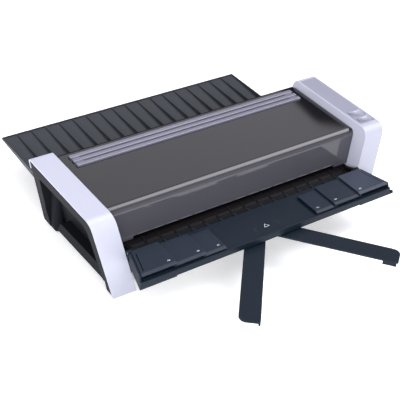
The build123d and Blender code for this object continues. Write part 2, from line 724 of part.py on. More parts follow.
def mains_inlet():
    """Appliance inlet: flange, socket well and three contact pins."""
    face_y = back_y(SOCKET_Z - 10.5) + 1.6
    inner_y = face_y - 22
    body = inlet_hole(-0.1) & block(0, 300, inner_y, face_y, 0, 60)
    flange_y = back_y(SOCKET_Z - FLANGE_HALF_Z) + 0.2
    flange = block(INLET_X - 17, INLET_X + 17, flange_y, face_y, SOCKET_Z - FLANGE_HALF_Z,
                   SOCKET_Z + FLANGE_HALF_Z)
    well_x, well_z = 12.0, 8.2
    well = [(INLET_X - well_x, SOCKET_Z - well_z), (INLET_X + well_x, SOCKET_Z - well_z),
            (INLET_X + well_x, SOCKET_Z + 3), (INLET_X + well_x - 5, SOCKET_Z + well_z),
            (INLET_X - well_x + 5, SOCKET_Z + well_z), (INLET_X - well_x, SOCKET_Z + 3)]
    body = body + flange - prism_y(well, face_y - 17, face_y + 5)
    for dx, dz in ((-7, -2.5), (0, 2.5), (7, -2.5)):
        x, z = INLET_X + dx, SOCKET_Z + dz
        body += block(x - 1, x + 1, face_y - 18, face_y - 4, z - 2, z + 2)
    return body


def rocker_y():
    return back_y(SOCKET_Z) - ROCKER_IN


def switch_frame():
    face_y = back_y(SOCKET_Z - 10) + 1.6
    body = switch_hole(-0.1) & block(0, 300, face_y - 16, face_y, 0, 60)
    flange_y = back_y(SOCKET_Z - FLANGE_HALF_Z) + 0.2
    body += block(SWITCH_X - 9, SWITCH_X + 9, flange_y, face_y, SOCKET_Z - FLANGE_HALF_Z,
                  SOCKET_Z + FLANGE_HALF_Z)
    body -= block(SWITCH_X - 5.3, SWITCH_X + 5.3, face_y - 13, face_y + 2, SOCKET_Z - 8.6, SOCKET_Z + 8.6)
    return body - rod_x(SWITCH_X - 8, SWITCH_X + 8, rocker_y(), SOCKET_Z, ROCKER_PIN_R + RUN_FIT)


def switch_rocker():
    """Rocker on a cross pin; its two faces slope to the middle."""
    y = rocker_y()
    z = SOCKET_Z
    body = prism_x([(y - 3, z - 3), (y - 3, z + 3), (y + 5.2, z + 7.2), (y + 3.4, z), (y + 3.2, z - 7.2)],
                   SWITCH_X - 4.9, SWITCH_X + 4.9)
    return body + rod_x(SWITCH_X - ROCKER_PIN_HALF, SWITCH_X + ROCKER_PIN_HALF, y, z, ROCKER_PIN_R)


def case_screws():
    """Countersunk screws up through the floor of the pan into the side plates' feet."""
    screws = []
    for y in (115, 192):
        for side in (-1, 1):
            x = side * (PLATE_X - 4.5)
            screws.append(rod_z(x, y, PAN_LOW_Z - 1.5, PAN_LOW_Z, 3.6))
    return group(screws)


# ---- input tray ----
def tray_end_x(y, inset=0.0):
    """Distance of the tray end's outer face from the middle, moved in by inset."""
    return END_X - END_TAPER * (y - TRAY_FRONT_Y) - inset


def inside_tray_ends(inset, low, high):
    """Everything between the two tapering tray ends, drawn in by inset."""
    y0, y1 = TRAY_FRONT_Y - 2, TRAY_BACK_Y + 20
    front, back = tray_end_x(y0, inset), tray_end_x(y1, inset)
    return prism_z([(-front, y0), (front, y0), (back, y1), (-back, y1)], low, high)


def input_tray():
    """Folding deck with a front wall, tapering ends, guide rails and half of the hinge comb."""
    deck = block(-200, 200, TRAY_FRONT_Y + 1, TRAY_BACK_Y - 2.5, DECK_Z - 2.5, DECK_Z)
    deck += block(-178, 178, TRAY_BACK_Y - 3, TRAY_BACK_Y + 3, DECK_Z - 2.5, DECK_Z)
    front_in = TRAY_FRONT_Y + 2.4
    front = prism_x([(TRAY_FRONT_Y, TRAY_LOW_Z + 1.7), (TRAY_FRONT_Y, DECK_Z + 1, 0.8),
                     (front_in, DECK_Z + 1, 0.8), (front_in, TRAY_LOW_Z + 1.7)], -202, 202)
    tray = (deck + front) & inside_tray_ends(0.5, 40, 80)
    # Finger lip at the right front corner.
    tray += prism_z([(199, TRAY_FRONT_Y), (211, TRAY_FRONT_Y, 2), (213.5, TRAY_FRONT_Y + 3, 1.5), (199, 12)],
                    TRAY_LOW_Z, TRAY_LOW_Z + 2.2)
    for side in (-1, 1):
        a, b = sorted((side * 150, side * 202))
        tray += block(a, b, TRAY_FRONT_Y, TRAY_FRONT_Y + 2.4, TRAY_LOW_Z, TRAY_LOW_Z + 3)
        ends = [(tray_end_x(y, inset), y) for y, inset in (
            (TRAY_FRONT_Y, 0.0), (END_BACK_Y, 0.0), (END_BACK_Y, END_WALL), (TRAY_FRONT_Y, END_WALL))]
        wall = side_of(prism_z(ends, TRAY_LOW_Z, END_TOP_Z), side)
        nose = [(TRAY_FRONT_Y - 1, 60), (TRAY_FRONT_Y - 1, 70), (-1, 70), (-1.5, 66.5), (-3.5, 60)]
        wall -= prism_x(nose, -210, 210)
        tray += wall
        # Rail under the three leaves, ending short of the inner one's tip.
        a, b = sorted((side * (SIZE_HALF[0] + 9), side * 197))
        tray += block(a, b, -1.6, 2.4, DECK_Z - 0.1, DECK_Z + 1.3)
        # Hinge knuckle.
        a, b = sorted((side * (EAR_OUT + 0.5), side * KNUCKLE_OUT))
        knuckle = prism_x([(TRAY_PIN_Y - 6, DECK_Z - 2.5), (TRAY_PIN_Y + 3.5, DECK_Z - 2.5, 2),
                           (TRAY_PIN_Y + 4.3, TRAY_PIN_Z, 3), (TRAY_PIN_Y + 1, TRAY_PIN_Z + 4.4, 3),
                           (TRAY_PIN_Y - 3.7, TRAY_PIN_Z + 4.4, 2), (TRAY_PIN_Y - 4.2, DECK_Z)], a, b)
        tray += knuckle
        tray -= rod_x(a - 1, b + 1, TRAY_PIN_Y, TRAY_PIN_Z, TRAY_PIN_R + RUN_FIT)
        a, b = sorted((side * (EAR_IN - 0.6), side * (EAR_OUT + 0.5)))
        tray -= block(a, b, TRAY_PIN_Y - 5.2, 60, 40, 75)
    for i in range(COMB_COUNT):
        x = (i - (COMB_COUNT - 1) / 2) * COMB_PITCH
        if abs(x) < EAR_IN - 4:
            tray += block(x - 1.6, x + 1.6, TRAY_BACK_Y, TRAY_BACK_Y + 8.2, DECK_Z - 2.5, DECK_Z + 0.4)
    for side in (-1, 1):
        x = side * ARM_PIVOT_X
        tray += rod_z(x, ARM_PIVOT_Y, ARM_TOP_Z + 0.3, DECK_Z - 1, 6.5)
        tray -= rod_z(x, ARM_PIVOT_Y, ARM_TOP_Z - 1, DECK_Z - 2.5, ARM_PIN_R)
    for x in (-120, -60, 60, 120):
        tray += block(x - 0.8, x + 0.8, TRAY_FRONT_Y + 2, TRAY_BACK_Y - 2, TRAY_LOW_Z + 2.5, DECK_Z - 2)
    tray += block(-188, 188, TRAY_BACK_Y - 4.6, TRAY_BACK_Y - 2.8, TRAY_LOW_Z + 2.5, DECK_Z - 2)
    return tray


def arm_pivot_pins():
    """Headed pins that hang the support arms under the deck."""
    low = ARM_TOP_Z - ARM_T - 0.3
    pins = []
    for side in (-1, 1):
        x = side * ARM_PIVOT_X
        head = rod_z(x, ARM_PIVOT_Y, low - 1.6, low, 5.5)
        pins.append(head + rod_z(x, ARM_PIVOT_Y, low, DECK_Z - 2.5, ARM_PIN_R))
    return group(pins)


def support_arm(side):
    """Flat swing-out arm with a lip that hangs from its inner tip corner."""
    low = ARM_TOP_Z - ARM_T
    # Drawn along -Y from the pivot, then swung outwards.
    body = prism_z([(-ARM_HALF, 0), (-ARM_HALF, -ARM_LENGTH, 3), (ARM_HALF, -ARM_LENGTH, 10), (ARM_HALF, 0)],
                   low, ARM_TOP_Z)
    body += rod_z(0, 0, low, ARM_TOP_Z, ARM_HALF)
    body += block(-ARM_HALF, -ARM_HALF + 2.5, -ARM_LENGTH + 2, -ARM_LENGTH + 20, low - 5, low + 0.1)
    body -= rod_z(0, 0, low - 1, ARM_TOP_Z + 1, ARM_PIN_R + RUN_FIT)
    arm = Pos(ARM_PIVOT_X, ARM_PIVOT_Y, 0) * Rot(0, 0, ARM_SPLAY) * body
    return side_of(arm, side)


def leaf_top(i):
    return LEAF_TOP_Z + i * LEAF_STEP


def guide_leaf(i, side):
    """Paper guide leaf i (0 inner, 1 middle, 2 outer), with a front hem and a back runner."""
    x0, x1 = SIZE_HALF[i], LEAF_END[i]
    top = leaf_top(i)
    back = LEAF_DEPTH - (0, 2.0)[i < 2] - (2.0 if i == 0 else 0)
    leaf = block(x0, x1, 0.8, back, top - LEAF_T, top)
    leaf += prism_x([(HEM_FRONT_Y, top - 2.3, 0.3), (HEM_FRONT_Y, top - 1.5, 0.4), (1.0, top),
                     (1.0, top - 2.3)], x0, x1)
    low = DECK_Z if i == 2 else DECK_Z + 0.3
    leaf += block(x0, x1, back - 1.5, back, low, top)
    rim = END_WALL + 0.5
    if i == 2:
        outer, inner = LEAF_SLOT
        slot = [(tray_end_x(4, outer), 4), (tray_end_x(36, outer), 36), (tray_end_x(36, inner), 36),
                (tray_end_x(4, inner), 4)]
        leaf -= prism_z(slot, top - 3, top + 3)
    if i == 1:
        rim += MIDDLE_TRAVEL
    leaf &= inside_tray_ends(rim, 40, 80)
    return side_of(leaf, side)


# ---- output tray ----
def output_tray():
    """Ribbed rear tray: the deck falls towards the machine, the rib tops stay level."""
    wall = 2.0
    tray = prism_x([(OUT_FRONT_Y, OUT_TOP_Z - 9.5), (OUT_BACK_Y, OUT_TOP_Z - 3), (OUT_BACK_Y, OUT_TOP_Z - 1.2),
                    (OUT_FRONT_Y, OUT_TOP_Z - 7.7)], -OUT_HALF, OUT_HALF)
    pitch = (2 * OUT_HALF - wall) / OUT_STRIPS
    for i in range(OUT_STRIPS + 1):
        x = -OUT_HALF + i * pitch
        edge = i in (0, OUT_STRIPS)
        front = OUT_FRONT_Y if edge else OUT_FRONT_Y + 2
        thick = wall if edge else 1.4
        rib = [(front, OUT_TOP_Z - 9.5), (OUT_BACK_Y, OUT_TOP_Z - 3), (OUT_BACK_Y, OUT_TOP_Z),
               (front + 3, OUT_TOP_Z)]
        tray += prism_x(rib, x, x + thick)
    tray += block(-OUT_HALF, OUT_HALF, OUT_BACK_Y - 1.6, OUT_BACK_Y, OUT_TOP_Z - 3, OUT_TOP_Z)
    for side in (-1, 1):
        a, b = sorted((side * 152.5, side * 164.5))
        knuckle = prism_x([(OUT_PIN_Y - 3.8, OUT_PIN_Z - 3.8, 2), (OUT_PIN_Y + 3.8, OUT_PIN_Z - 3.8, 2),
                           (OUT_PIN_Y + 8, OUT_TOP_Z - 8), (OUT_PIN_Y - 3.8, OUT_TOP_Z - 8)], a, b)
        tray += knuckle
        tray -= rod_x(a - 1, b + 1, OUT_PIN_Y, OUT_PIN_Z, OUT_PIN_R + RUN_FIT)
        for x0 in (147.5, 164.5):
            a, b = sorted((side * x0, side * (x0 + 5)))
            tray -= block(a, b, OUT_FRONT_Y - 2, OUT_PIN_Y + 6, OUT_PIN_Z - 8, OUT_PIN_Z + 6)
    return tray


def all_parts():
    """Every node by name."""
    front, rear = roller_ys()
    parts = {
        "left_cap_shell": cap_shell(-1),
        "right_cap_shell": cap_shell(1),
        "left_end_frame": end_frame(-1),
        "right_end_frame": end_frame(1),
        "rubber_feet": rubber_feet(),
        "control_panel": control_panel(),
        "power_button": button(BUTTON_YS[1]),
        "mode_button": button(BUTTON_YS[0]),
        "front_cover": front_cover(),
        "vent_trim": vent_trim(),
        "rear_panel": rear_panel(),
        "base_pan": base_pan(),
        "entry_guide": entry_guide(),
        "upper_entry_guide": upper_entry_guide(),
        "exit_guide": exit_guide(),
        "tray_hinge_pins": tray_hinge_pins(),
        "output_hinge_pins": output_hinge_pins(),
        "left_side_plate": side_plate(-1),
        "right_side_plate": side_plate(1),
        "tie_bars": tie_bars(),
        "lower_bushes": lower_bushes(),
        "upper_bearing_blocks": upper_bearing_blocks(),
        "pressure_springs": pressure_springs(),
        "drive_motor": drive_motor(),
        "drive_gear": drive_gear(),
        "drive_shaft": drive_shaft(),
        "upper_heater_plate": heater_plate(NIP_Z + 1.2, NIP_Z + 3.0, 1),
        "lower_heater_plate": heater_plate(NIP_Z - 3.0, NIP_Z - 1.2, -1),
        "thermostat": thermostat(),
        "power_board": power_board(),
        "control_board": control_board(),
        "entry_sensor": entry_sensor(),
        "mains_inlet": mains_inlet(),
        "switch_frame": switch_frame(),
        "switch_rocker": switch_rocker(),
        "case_screws": case_screws(),
        "input_tray": input_tray(),
        "arm_pivot_pins": arm_pivot_pins(),
        "left_support_arm": support_arm(-1),
        "right_support_arm": support_arm(1),
        "output_tray": output_tray(),
    }
    for place, y in (("front", front), ("rear", rear)):
        for level, z in (("lower", LOWER_Z), ("upper", UPPER_Z)):
            parts[f"{place}_{level}_shaft"] = roller_shaft(y, z)
            parts[f"{place}_{level}_sleeve"] = roller_sleeve(y, z)
            parts[f"{place}_{level}_gear"] = roller_gear(y, z)
    for i, name in enumerate(("inner", "middle", "outer")):
        parts[f"left_{name}_guide"] = guide_leaf(i, -1)
        parts[f"right_{name}_guide"] = guide_leaf(i, 1)
    return parts


def footprint_shift(parts):
    """How far the drawing moves so that the origin is the bottom centre of its box."""
    boxes = [shape.bounding_box() for shape in parts.values()]
    y = (min(b.min.Y for b in boxes) + max(b.max.Y for b in boxes)) / 2
    return Vector(0, -y, -min(b.min.Z for b in boxes))


PARTS = all_parts()
SHIFT = footprint_shift(PARTS)

if __name__ == "__main__":
    os.makedirs("parts", exist_ok=True)
    for name, shape in PARTS.items():
        export_step(Pos(SHIFT) * shape, f"parts/{name}.step")
    print("shift", SHIFT, "nodes", len(PARTS))
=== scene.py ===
import json
import math

import bpy
from mathutils import Matrix, Vector


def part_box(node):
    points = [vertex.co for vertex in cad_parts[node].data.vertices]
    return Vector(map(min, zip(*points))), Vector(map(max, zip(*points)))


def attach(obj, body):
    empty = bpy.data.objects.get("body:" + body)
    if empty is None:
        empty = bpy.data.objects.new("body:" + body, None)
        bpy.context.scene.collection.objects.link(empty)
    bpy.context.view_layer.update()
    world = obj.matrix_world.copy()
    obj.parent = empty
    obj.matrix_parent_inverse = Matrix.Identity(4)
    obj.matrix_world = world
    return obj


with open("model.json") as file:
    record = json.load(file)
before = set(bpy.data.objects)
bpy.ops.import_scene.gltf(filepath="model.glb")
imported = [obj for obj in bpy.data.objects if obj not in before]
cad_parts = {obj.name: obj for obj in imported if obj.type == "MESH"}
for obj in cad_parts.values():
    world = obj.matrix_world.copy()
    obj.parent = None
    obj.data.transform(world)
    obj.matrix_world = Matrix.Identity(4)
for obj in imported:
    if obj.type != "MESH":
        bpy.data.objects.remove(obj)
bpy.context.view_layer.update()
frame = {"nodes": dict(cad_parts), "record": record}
scene = bpy.context.scene
nodes = frame["nodes"]

CAMERA_AT = (-0.7105, -0.8948, 0.8548)
AZIMUTH, ELEVATION, ROLL = 37.40, 35.99, 5.05  # degrees; azimuth is towards +X from +Y
LENS = 91.4

# Surface detail, in metres or per metre
MOTTLE_SCALE = 22.0
FLAKE_SCALE = 2600.0
FLAKE_REACH = 0.35  # the part of a flake's cell that glints
EDGE_RADIUS = 0.0005
GRAIN_DEPTH = 0.0002
FRONT_LIGHT_HIGH, FRONT_LIGHT_LOW = 0.1085, 0.1020  # where the painted light on the cover's front starts and is full

# Printed marks, in metres
SMALL = 0.00005  # how far a mark stands off its surface
SIZE_MARK_IN, SIZE_MARK_UP, SIZE_MARK_HEIGHT = 0.0075, 0.0090, 0.0025
DECK = 0.058  # height of the input tray's deck
ARROW_HALF, ARROW_BASE, ARROW_TIP, ARROW_LINE = 0.0038, 0.0135, 0.0190, 0.0005
PIVOT_X, PIVOT_Y, PIVOT_RADIUS, PIVOT_LINE = 0.016, 0.0140, 0.0036, 0.0016
WITNESS_X, WITNESS_Y, WITNESS_RADIUS, WITNESS_LINE = 0.061, 0.0405, 0.0026, 0.0006

# Keys, in metres
KEY_RIDGE = 0.0014  # height of the ridge above the key's face
KEY_MARK_BACK = 0.0022  # the mark's distance in front of the key's middle
KEY_LINE = 0.0004
RING_RADIUS, STROKE_FROM, STROKE_TO = 0.0014, 0.0005, 0.0020
DASH_PITCH, DASH_HALF, DASH_WIDTH = 0.0030, 0.0009, 0.0012
DISH_RADIUS, DISH_RISE, DISH_BACK = 0.0295, 0.0272, 0.0034
RIDGE_IN, RIDGE_FROM, RIDGE_TO, RIDGE_STEPS = 0.0006, 0.0017, 0.0005, 16

# Studio
SKY = (0.05, 0.55, 0.30, 0.80)  # direction's Z from and to, brightness from and to
SKY_COLOUR = (0.985, 0.975, 1.04, 1)
GLOWS = (  # azimuth, elevation, core and edge radius, brightness
    (38, 37, 4, 20, 0.45),
    (99, 56, 4, 26, 6.8),
)
CORNER_WAY, CORNER_TILT = (0.731, -0.682), 1.6  # the dark corner's left edge: heading and lean
CORNER_Z = 0.4995  # direction's Z at the left edge's foot
CORNER_TOP_Z = 0.513


# ---- materials ----
def link(tree, a, b):
    tree.links.new(a, b)


def plastic(name, colour, rough, grain=0.15, grain_size=0.0006, mottle=0.05, metallic=0.0, coat=0.0,
            coat_rough=0.08, edge=0.0, edge_light=1.0, flake=0.0, specular=0.5):
    """Moulded or painted surface: fine grain, slight mottling, soft edges, an optional painted highlight
    along edges and optional metal flake.
    """
    mat = bpy.data.materials.new(name)
    mat.use_nodes = True
    tree = mat.node_tree
    shader = tree.nodes["Principled BSDF"]
    shader.inputs["Metallic"].default_value = metallic
    shader.inputs["Coat Weight"].default_value = coat
    shader.inputs["Coat Roughness"].default_value = coat_rough
    shader.inputs["Specular IOR Level"].default_value = specular
    place = tree.nodes.new("ShaderNodeTexCoord").outputs["Object"]

    broad = tree.nodes.new("ShaderNodeTexNoise")
    broad.inputs["Scale"].default_value = MOTTLE_SCALE
    broad.inputs["Detail"].default_value = 4.0
    link(tree, place, broad.inputs["Vector"])
    fine = tree.nodes.new("ShaderNodeTexNoise")
    fine.inputs["Scale"].default_value = 1.0 / grain_size
    fine.inputs["Detail"].default_value = 2.0
    link(tree, place, fine.inputs["Vector"])

    tint = tree.nodes.new("ShaderNodeMix")
    tint.data_type = "RGBA"
    tint.inputs[6].default_value = (*[c * (1 - mottle) for c in colour], 1)
    tint.inputs[7].default_value = (*[min(1.0, c * (1 + mottle)) for c in colour], 1)
    link(tree, broad.outputs["Fac"], tint.inputs[0])
    final = tint.outputs[2]

    if flake:
        cells = tree.nodes.new("ShaderNodeTexVoronoi")
        cells.inputs["Scale"].default_value = FLAKE_SCALE
        link(tree, place, cells.inputs["Vector"])
        spark = tree.nodes.new("ShaderNodeMapRange")
        spark.inputs["From Min"].default_value = 0.0
        spark.inputs["From Max"].default_value = FLAKE_REACH
        spark.inputs["To Min"].default_value = 1.0 + flake
        spark.inputs["To Max"].default_value = 1.0
        link(tree, cells.outputs["Distance"], spark.inputs["Value"])
        lit = tree.nodes.new("ShaderNodeVectorMath")
        lit.operation = "SCALE"
        link(tree, final, lit.inputs[0])
        link(tree, spark.outputs["Result"], lit.inputs["Scale"])
        final = lit.outputs["Vector"]

    soft = tree.nodes.new("ShaderNodeBevel")
    soft.samples = 4
    soft.inputs["Radius"].default_value = EDGE_RADIUS
    if edge:
        # Painted highlight: lighter edges where the softened normal leaves the face's own.
        face = tree.nodes.new("ShaderNodeNewGeometry")
        dot = tree.nodes.new("ShaderNodeVectorMath")
        dot.operation = "DOT_PRODUCT"
        link(tree, soft.outputs["Normal"], dot.inputs[0])
        link(tree, face.outputs["Normal"], dot.inputs[1])
        edge_highlight_mask = tree.nodes.new("ShaderNodeMapRange")
        edge_highlight_mask.inputs["From Min"].default_value = 1.0
        edge_highlight_mask.inputs["From Max"].default_value = 0.75
        edge_highlight_mask.inputs["To Min"].default_value = 0.0
        edge_highlight_mask.inputs["To Max"].default_value = edge
        link(tree, dot.outputs["Value"], edge_highlight_mask.inputs["Value"])
        edge_highlight_mix = tree.nodes.new("ShaderNodeMix")
        edge_highlight_mix.data_type = "RGBA"
        link(tree, edge_highlight_mask.outputs["Result"], edge_highlight_mix.inputs[0])
        link(tree, final, edge_highlight_mix.inputs[6])
        edge_highlight_mix.inputs[7].default_value = (*[min(1.0, c * 2.2 * edge_light + 0.02) for c in colour], 1)
        final = edge_highlight_mix.outputs[2]
    link(tree, final, shader.inputs["Base Color"])

    spread = tree.nodes.new("ShaderNodeMapRange")
    spread.inputs["To Min"].default_value = max(0.02, rough - 0.05)
    spread.inputs["To Max"].default_value = min(1.0, rough + 0.05)
    link(tree, fine.outputs["Fac"], spread.inputs["Value"])
    link(tree, spread.outputs["Result"], shader.inputs["Roughness"])

    bump = tree.nodes.new("ShaderNodeBump")
    bump.inputs["Strength"].default_value = grain
    bump.inputs["Distance"].default_value = GRAIN_DEPTH
    link(tree, fine.outputs["Fac"], bump.inputs["Height"])
    link(tree, soft.outputs["Normal"], bump.inputs["Normal"])
    link(tree, bump.outputs["Normal"], shader.inputs["Normal"])
    return mat


def paint_front_light(mat, colour, high, low):
    """Paint light onto the cover's bend and front face: a paler colour for the light they reflect, from
    height high downwards to low.
    """
    tree = mat.node_tree
    shader = tree.nodes["Principled BSDF"]
    before = shader.inputs["Base Color"].links[0].from_socket
    place = tree.nodes.new("ShaderNodeTexCoord").outputs["Object"]
    split = tree.nodes.new("ShaderNodeSeparateXYZ")
    link(tree, place, split.inputs[0])
    fade = tree.nodes.new("ShaderNodeMapRange")
    fade.interpolation_type = "SMOOTHSTEP"
    fade.inputs["From Min"].default_value = high
    fade.inputs["From Max"].default_value = low
    link(tree, split.outputs["Z"], fade.inputs["Value"])
    mix = tree.nodes.new("ShaderNodeMix")
    mix.data_type = "RGBA"
    link(tree, fade.outputs["Result"], mix.inputs[0])
    link(tree, before, mix.inputs[6])
    mix.inputs[7].default_value = (*colour, 1)
    link(tree, mix.outputs[2], shader.inputs["Base Color"])


def metal(name, colour, rough, brushed=True):
    """Plated or bare metal with fine marks along X."""
    mat = bpy.data.materials.new(name)
    mat.use_nodes = True
    tree = mat.node_tree
    shader = tree.nodes["Principled BSDF"]
    shader.inputs["Metallic"].default_value = 1.0
    place = tree.nodes.new("ShaderNodeTexCoord").outputs["Object"]
    stretch = tree.nodes.new("ShaderNodeMapping")
    stretch.inputs["Scale"].default_value = (40, 1500, 1500) if brushed else (400, 400, 400)
    link(tree, place, stretch.inputs["Vector"])
    marks = tree.nodes.new("ShaderNodeTexNoise")
    marks.inputs["Scale"].default_value = 1.0
    marks.inputs["Detail"].default_value = 3.0
    link(tree, stretch.outputs["Vector"], marks.inputs["Vector"])
    tint = tree.nodes.new("ShaderNodeMix")
    tint.data_type = "RGBA"
    tint.inputs[6].default_value = (*[c * 0.82 for c in colour], 1)
    tint.inputs[7].default_value = (*colour, 1)
    link(tree, marks.outputs["Fac"], tint.inputs[0])
    link(tree, tint.outputs[2], shader.inputs["Base Color"])
    spread = tree.nodes.new("ShaderNodeMapRange")
    spread.inputs["To Min"].default_value = max(0.05, rough - 0.08)
    spread.inputs["To Max"].default_value = rough + 0.08
    link(tree, marks.outputs["Fac"], spread.inputs["Value"])
    link(tree, spread.outputs["Result"], shader.inputs["Roughness"])
    return mat


WHITE = plastic("white_satin", (0.445, 0.455, 0.54), 0.34, grain=0.05, mottle=0.010, edge=0.15,
                specular=0.4)
SILVER = plastic("silver_paint", (0.335, 0.34, 0.42), 0.36, grain=0.10, mottle=0.015, metallic=0.35,
                 flake=0.15)
TRIM = plastic("trim_paint", (0.20, 0.20, 0.25), 0.34, grain=0.08, mottle=0.02, metallic=0.4, flake=0.15,
               edge=0.35)
SMOKE = plastic("smoke_lacquer", (0.0085, 0.008, 0.0095), 0.42, grain=0.03, mottle=0.06, coat=1.0,
                coat_rough=0.035, flake=0.5, specular=0.0)
# Painted light on the cover's front: paler below the top, for the reflected light the front face shows.
paint_front_light(SMOKE, (0.064, 0.063, 0.075), FRONT_LIGHT_HIGH, FRONT_LIGHT_LOW)
FRAME = plastic("frame_grain", (0.0075, 0.009, 0.0115), 0.6, grain=0.45, mottle=0.08, edge=0.35,
                specular=0.08)
TRAY = plastic("tray_grain", (0.0052, 0.0105, 0.0185), 0.45, grain=0.40, mottle=0.10, edge=0.6,
               specular=0.16)
LEAF = plastic("leaf_grain", (0.0095, 0.0155, 0.027), 0.42, grain=0.40, mottle=0.08, edge=0.9,
               edge_light=1.5, specular=0.2)
# Painted light: a lighter copy of the leaf colour for the right outer guide, which catches more light from
# the right.
LIT_LEAF = plastic("lit_leaf_grain", (0.032, 0.040, 0.060), 0.42, grain=0.40, mottle=0.08, edge=0.7,
                    specular=0.2)
REAR = plastic("rear_grain", (0.024, 0.028, 0.034), 0.42, grain=0.40, mottle=0.10, edge=0.4,
               specular=0.35)
SILL = plastic("sill_brown", (0.0035, 0.0028, 0.0035), 0.5, grain=0.35, mottle=0.1, edge=0.3,
               specular=0.1)
RUBBER = plastic("foot_rubber", (0.012, 0.012, 0.012), 0.8, grain=0.6, mottle=0.1)
BEARING = plastic("bearing_black", (0.02, 0.02, 0.02), 0.5, mottle=0.1)
SILICONE = plastic("silicone_red", (0.30, 0.07, 0.04), 0.55, grain=0.2, mottle=0.06)
GEAR = plastic("gear_acetal", (0.72, 0.70, 0.64), 0.4, mottle=0.03)
BOARD = plastic("board_green", (0.012, 0.07, 0.025), 0.3, mottle=0.2, grain_size=0.003)
BLACK = plastic("socket_black", (0.010, 0.010, 0.012), 0.3, grain=0.2, mottle=0.1, edge=0.3)
STEEL = metal("plated_steel", (0.55, 0.55, 0.56), 0.32)
BRONZE = metal("sintered_bronze", (0.55, 0.36, 0.17), 0.45, brushed=False)
ALUMINIUM = metal("extruded_aluminium", (0.72, 0.72, 0.74), 0.35)
MOTOR = metal("zinc_plate", (0.45, 0.45, 0.48), 0.4, brushed=False)
INK = plastic("white_print", (0.75, 0.77, 0.82), 0.6, mottle=0.03)
GREY_INK = plastic("grey_print", (0.28, 0.29, 0.33), 0.6, mottle=0.03)
DARK = plastic("shadow_gap", (0.004, 0.004, 0.006), 0.7, mottle=0.1)

BY_SLOT = {
    "white_shell": WHITE, "silver_panel": SILVER, "silver_trim": TRIM, "smoke_cover": SMOKE,
    "dark_frame": FRAME, "tray_plastic": TRAY, "foot_rubber": RUBBER, "steel": STEEL, "bronze": BRONZE,
    "bearing_plastic": BEARING, "silicone": SILICONE, "gear_plastic": GEAR, "heater_aluminium": ALUMINIUM,
    "motor_steel": MOTOR, "circuit_board": BOARD, "black_plastic": BLACK,
}
BY_NODE = {
    "left_outer_guide": LEAF, "left_middle_guide": LEAF, "left_inner_guide": LEAF,
    "right_outer_guide": LIT_LEAF, "right_middle_guide": LEAF, "right_inner_guide": LEAF,
    "entry_guide": SILL, "output_tray": REAR, "power_button": SILVER, "mode_button": SILVER,
}
slot_of = {part["node"]: part["material_slot"] for part in frame["record"]["subparts"]}
for name, node in nodes.items():
    node.data.materials.clear()
    node.data.materials.append(BY_NODE.get(name, BY_SLOT[slot_of[name]]))


# ---- detail pieces ----
def piece(name, verts, faces, look, body):
    """A mesh piece with one material that rides on a body."""
    mesh = bpy.data.meshes.new(name)
    mesh.from_pydata(verts, [], faces)
    mesh.update()
    obj = bpy.data.objects.new(name, mesh)
    scene.collection.objects.link(obj)
    mesh.materials.append(look)
    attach(obj, body)


def strip(points, width, z, closed=False):
    """A flat line of even width along points in XY, as vertices and quads."""
    n = len(points)
    verts, faces = [], []
    for i, p in enumerate(points):
        a = points[(i - 1) % n] if closed or i else p
        b = points[(i + 1) % n] if closed or i < n - 1 else p
        into = (Vector(p) - Vector(a)).normalized() if a != p else None
        out = (Vector(b) - Vector(p)).normalized() if b != p else None
        into = into or out
        out = out or into
        side = Vector((-(into + out).y, (into + out).x)).normalized()
        reach = width / 2 / max(0.35, side.dot(Vector((-out.y, out.x))))
        verts.append((p[0] + side.x * reach, p[1] + side.y * reach, z))
        verts.append((p[0] - side.x * reach, p[1] - side.y * reach, z))
    for i in range(n if closed else n - 1):
        j = (i + 1) % n
        faces.append((2 * i, 2 * i + 1, 2 * j + 1, 2 * j))
    return verts, faces


def arc(x, y, radius, start, end, count=14):
    """Points along an arc in XY; angles in degrees."""
    angles = [math.radians(start + i * (end - start) / count) for i in range(count + 1)]
    return [(x + radius * math.cos(a), y + radius * math.sin(a)) for a in angles]


def joined(parts):
    """One mesh from several (vertices, faces) pairs."""
    verts, faces = [], []
    for more, quads in parts:
        faces += [tuple(i + len(verts) for i in quad) for quad in quads]
        verts += more
    return verts, faces


def text_mark(name, words, place, height, look, body):
    """Flat lettering centred on a place, turned into a mesh."""
    curve = bpy.data.curves.new(name, "FONT")
    curve.body = words
    curve.size = height * 1.4
    curve.align_x = "CENTER"
    curve.align_y = "CENTER"
    obj = bpy.data.objects.new(name, curve)
    scene.collection.objects.link(obj)
    bpy.context.view_layer.update()
    graph = bpy.context.evaluated_depsgraph_get()
    mesh = bpy.data.meshes.new_from_object(obj.evaluated_get(graph))
    bpy.data.objects.remove(obj)
    flat = bpy.data.objects.new(name, mesh)
    flat.location = place
    scene.collection.objects.link(flat)
    mesh.materials.clear()
    mesh.materials.append(look)
    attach(flat, body)


def size_marks():
    """Paper size marks near the inner front corner of each guide."""
    for side, sign in (("left", -1), ("right", 1)):
        for leaf, words in (("inner", "A5"), ("middle", "A4"), ("outer", "A3")):
            low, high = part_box(f"{side}_{leaf}_guide")
            inner_x = high.x if sign < 0 else low.x
            place = (inner_x + sign * SIZE_MARK_IN, low.y + SIZE_MARK_UP, high.z + SMALL)
            body = "input_tray" if leaf == "outer" else f"{side}_{leaf}_guide"
            text_mark(f"{side}_{leaf}_size_mark", words, place, SIZE_MARK_HEIGHT, INK, body)


